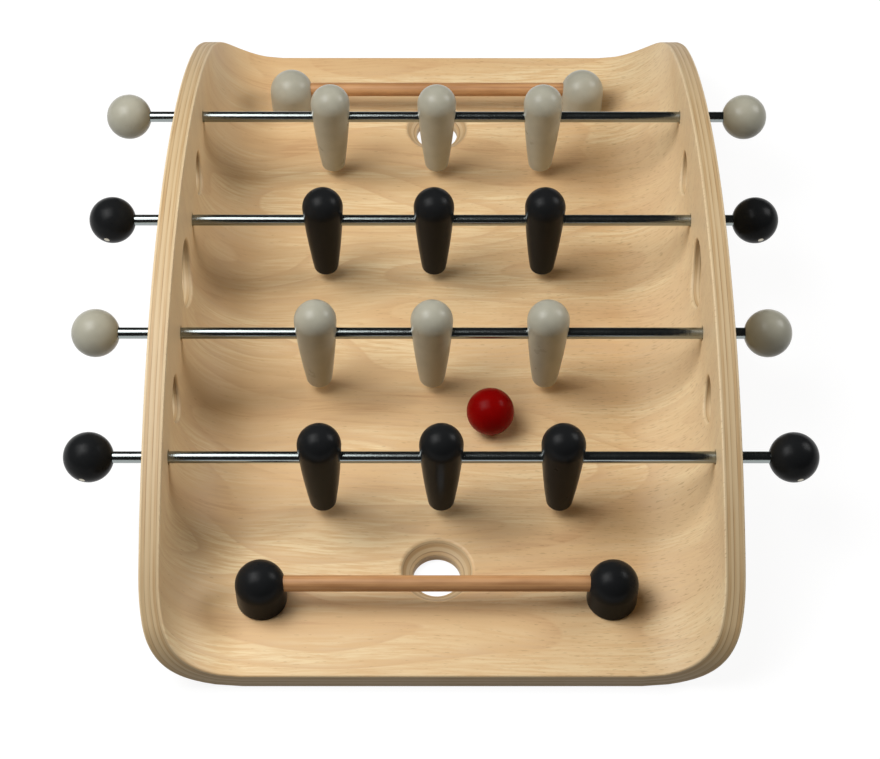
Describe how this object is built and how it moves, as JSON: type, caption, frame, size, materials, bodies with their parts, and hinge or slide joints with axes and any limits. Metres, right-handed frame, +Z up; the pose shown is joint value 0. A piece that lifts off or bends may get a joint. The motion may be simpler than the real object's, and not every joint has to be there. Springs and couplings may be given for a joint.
{
  "type": "tabletop foosball game",
  "caption": "Tabletop foosball game: a bent plywood tray with bowed walls and round ports, sliding and turning rods with peg players and ball knobs, dowel goals and a loose ball.",
  "frame": {"origin": "middle of the tray's flat underside", "axes": "+X to the right across the field along the rods, +Y from the front goal to the back goal along the tray's length, +Z up"},
  "size_m": [0.3782, 0.432, 0.1029],
  "materials": {
    "plywood": "clear satin lacquer over pale plywood",
    "dowel_wood": "plain turned dowel",
    "grey_lacquer": "satin warm grey paint on turned wood",
    "black_lacquer": "satin black paint on turned wood",
    "red_lacquer": "satin red paint on a wooden ball",
    "bright_steel": "bright drawn steel rod",
    "zinc_steel": "zinc-plated steel"
  },
  "bodies": {
    "tray": {"tray": "plywood", "post_screws": "zinc_steel", "crossbar_front": "dowel_wood", "crossbar_back": "dowel_wood", "goal_post_front_left": "black_lacquer", "goal_post_front_right": "black_lacquer", "goal_post_back_left": "grey_lacquer", "goal_post_back_right": "grey_lacquer"},
    "rod_1": {"rod_1": "bright_steel"},
    "players_1": {"player_1_left": "grey_lacquer", "player_1_middle": "grey_lacquer", "player_1_right": "grey_lacquer", "knob_1_left": "grey_lacquer", "knob_1_right": "grey_lacquer", "knob_pins_1": "zinc_steel"},
    "rod_2": {"rod_2": "bright_steel"},
    "players_2": {"player_2_left": "black_lacquer", "player_2_middle": "black_lacquer", "player_2_right": "black_lacquer", "knob_2_left": "black_lacquer", "knob_2_right": "black_lacquer", "knob_pins_2": "zinc_steel"},
    "rod_3": {"rod_3": "bright_steel"},
    "players_3": {"player_3_left": "grey_lacquer", "player_3_middle": "grey_lacquer", "player_3_right": "grey_lacquer", "knob_3_left": "grey_lacquer", "knob_3_right": "grey_lacquer", "knob_pins_3": "zinc_steel"},
    "rod_4": {"rod_4": "bright_steel"},
    "players_4": {"player_4_left": "black_lacquer", "player_4_middle": "black_lacquer", "player_4_right": "black_lacquer", "knob_4_left": "black_lacquer", "knob_4_right": "black_lacquer", "knob_pins_4": "zinc_steel"},
    "ball": {"ball": "red_lacquer"}
  },
  "joints": [
    {"name": "rod_1_slide", "type": "slide", "parent": "tray", "child": "rod_1", "axis": [1, 0, 0], "range_m": [-0.0139, 0.0191]},
    {"name": "players_1_spin", "type": "hinge", "parent": "rod_1", "child": "players_1", "pos_m": [-0.0026, 0.1185, 0.0553], "axis": [1, 0, 0], "continuous": true},
    {"name": "rod_2_slide", "type": "slide", "parent": "tray", "child": "rod_2", "axis": [1, 0, 0], "range_m": [-0.0124, 0.0206]},
    {"name": "players_2_spin", "type": "hinge", "parent": "rod_2", "child": "players_2", "pos_m": [-0.0041, 0.0395, 0.0553], "axis": [1, 0, 0], "continuous": true},
    {"name": "rod_3_slide", "type": "slide", "parent": "tray", "child": "rod_3", "axis": [1, 0, 0], "range_m": [-0.0114, 0.0216]},
    {"name": "players_3_spin", "type": "hinge", "parent": "rod_3", "child": "players_3", "pos_m": [-0.0051, -0.0395, 0.0553], "axis": [1, 0, 0], "continuous": true},
    {"name": "rod_4_slide", "type": "slide", "parent": "tray", "child": "rod_4", "axis": [1, 0, 0], "range_m": [-0.0162, 0.0168]},
    {"name": "players_4_spin", "type": "hinge", "parent": "rod_4", "child": "players_4", "pos_m": [-0.0003, -0.1185, 0.0553], "axis": [1, 0, 0], "continuous": true},
    {"name": "ball_roll", "type": "slide", "parent": "tray", "child": "ball", "axis": [1, 0, 0], "range_m": [-0.1155, 0.0645]}
  ]
}
